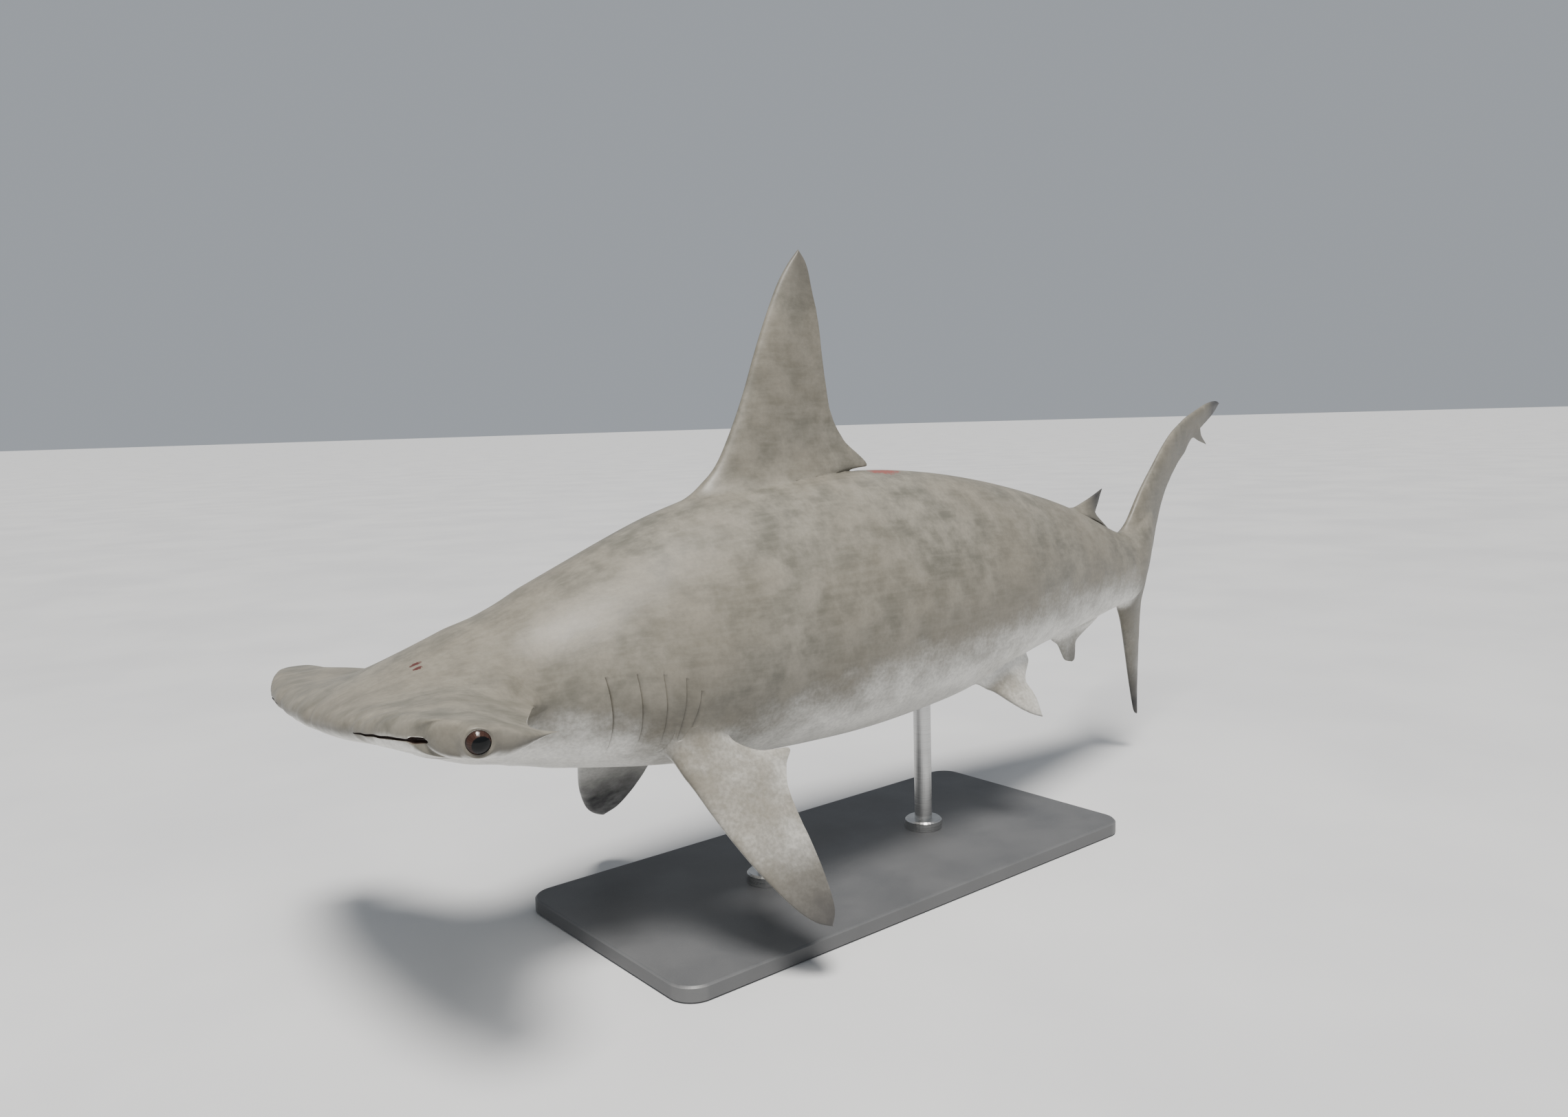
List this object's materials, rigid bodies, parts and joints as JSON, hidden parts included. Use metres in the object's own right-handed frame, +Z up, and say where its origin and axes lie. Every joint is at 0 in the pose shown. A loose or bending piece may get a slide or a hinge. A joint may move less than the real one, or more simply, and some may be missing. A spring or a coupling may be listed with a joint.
{
  "type": "hammerhead shark model",
  "caption": "Life-size still model of a swimming hammerhead shark with a wide flat head, tall dorsal fin and curved tail, on a flat stand with two rods.",
  "frame": {"origin": "centre of the stand base's underside, on the floor", "axes": "+Z up; +X along the base and from the head towards the tail, so the shark faces -X; +Y towards the shark's right side"},
  "size_m": [2.4584, 0.7481, 1.0612],
  "materials": {
    "skin": "satin grey-brown shark skin, white below",
    "eye": "glossy dark brown eye",
    "stand_paint": "satin dark grey paint",
    "stand_steel": "brushed steel"
  },
  "bodies": {
    "root": {"head": "skin", "neck_and_gills": "skin", "chest": "skin", "abdomen": "skin", "tail_stem": "skin", "caudal_fin_upper_lobe": "skin", "caudal_fin_lower_lobe": "skin", "first_dorsal_fin": "skin", "second_dorsal_fin": "skin", "anal_fin": "skin", "pectoral_fin_left": "skin", "pectoral_fin_right": "skin", "pelvic_fin_left": "skin", "pelvic_fin_right": "skin", "eye_left": "eye", "eye_right": "eye", "stand_base": "stand_paint", "stand_rod_front": "stand_steel", "stand_rod_rear": "stand_steel"}
  },
  "joints": []
}
